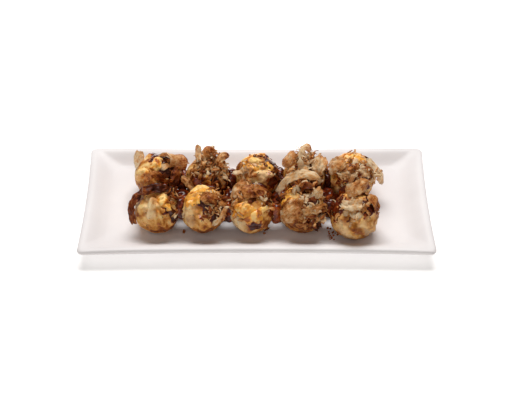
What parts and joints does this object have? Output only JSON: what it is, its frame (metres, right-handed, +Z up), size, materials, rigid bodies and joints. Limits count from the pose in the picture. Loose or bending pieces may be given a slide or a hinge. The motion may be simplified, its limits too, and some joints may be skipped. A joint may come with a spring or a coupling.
{
  "type": "takoyaki on a tray",
  "caption": "Fried takoyaki balls in two rows on a long shallow white tray, with mayonnaise and curled fish flakes.",
  "frame": {"origin": "middle of the tray's outline, on the plane its foot stands on", "axes": "+X along the tray, +Y across it from the front row to the back row, +Z up"},
  "size_m": [0.2994, 0.1318, 0.0633],
  "materials": {
    "glaze": "glossy white glaze",
    "dough": "fried dough, partly coated with glossy brown sauce",
    "mayonnaise": "thick orange mayonnaise, satin",
    "bonito": "thin dried fish flakes, translucent"
  },
  "bodies": {
    "root": {"tray": "glaze", "ball_front_1": "dough", "ball_front_2": "dough", "ball_front_3": "dough", "ball_front_4": "dough", "ball_front_5": "dough", "ball_back_1": "dough", "ball_back_2": "dough", "ball_back_3": "dough", "ball_back_4": "dough", "ball_back_5": "dough", "mayo_back_1_top": "mayonnaise", "mayo_back_1_side": "mayonnaise", "mayo_back_2_front": "mayonnaise", "mayo_back_3_top": "mayonnaise", "mayo_back_5_top": "mayonnaise", "mayo_front_1_top": "mayonnaise", "mayo_front_2_top": "mayonnaise", "mayo_front_3_lump": "mayonnaise", "mayo_front_3_band": "mayonnaise", "flake_back_1_leaf": "bonito", "flake_back_1_arch": "bonito", "flake_back_1_scroll": "bonito", "flake_back_1_rust": "bonito", "flake_back_2_tan": "bonito", "flake_back_2_pale": "bonito", "flake_back_2_peak": "bonito", "flake_back_2_right": "bonito", "flake_back_4_left": "bonito", "flake_back_4_tuft": "bonito", "flake_back_4_right": "bonito", "flake_back_5_left": "bonito", "flake_back_5_right": "bonito", "flake_front_1_wrap": "bonito", "flake_front_1_dark": "bonito", "flake_front_2_brown": "bonito", "flake_front_2_pink": "bonito", "flake_front_3_leaf": "bonito", "flake_front_3_crumple": "bonito", "flake_front_4_arch": "bonito", "flake_front_4_ring": "bonito", "flake_front_4_stand": "bonito", "flake_front_4_lower": "bonito", "flake_front_4_mid": "bonito", "flake_front_4_dark": "bonito", "flake_front_5_top": "bonito", "flake_front_5_white": "bonito", "flake_front_5_brown": "bonito"}
  },
  "joints": []
}
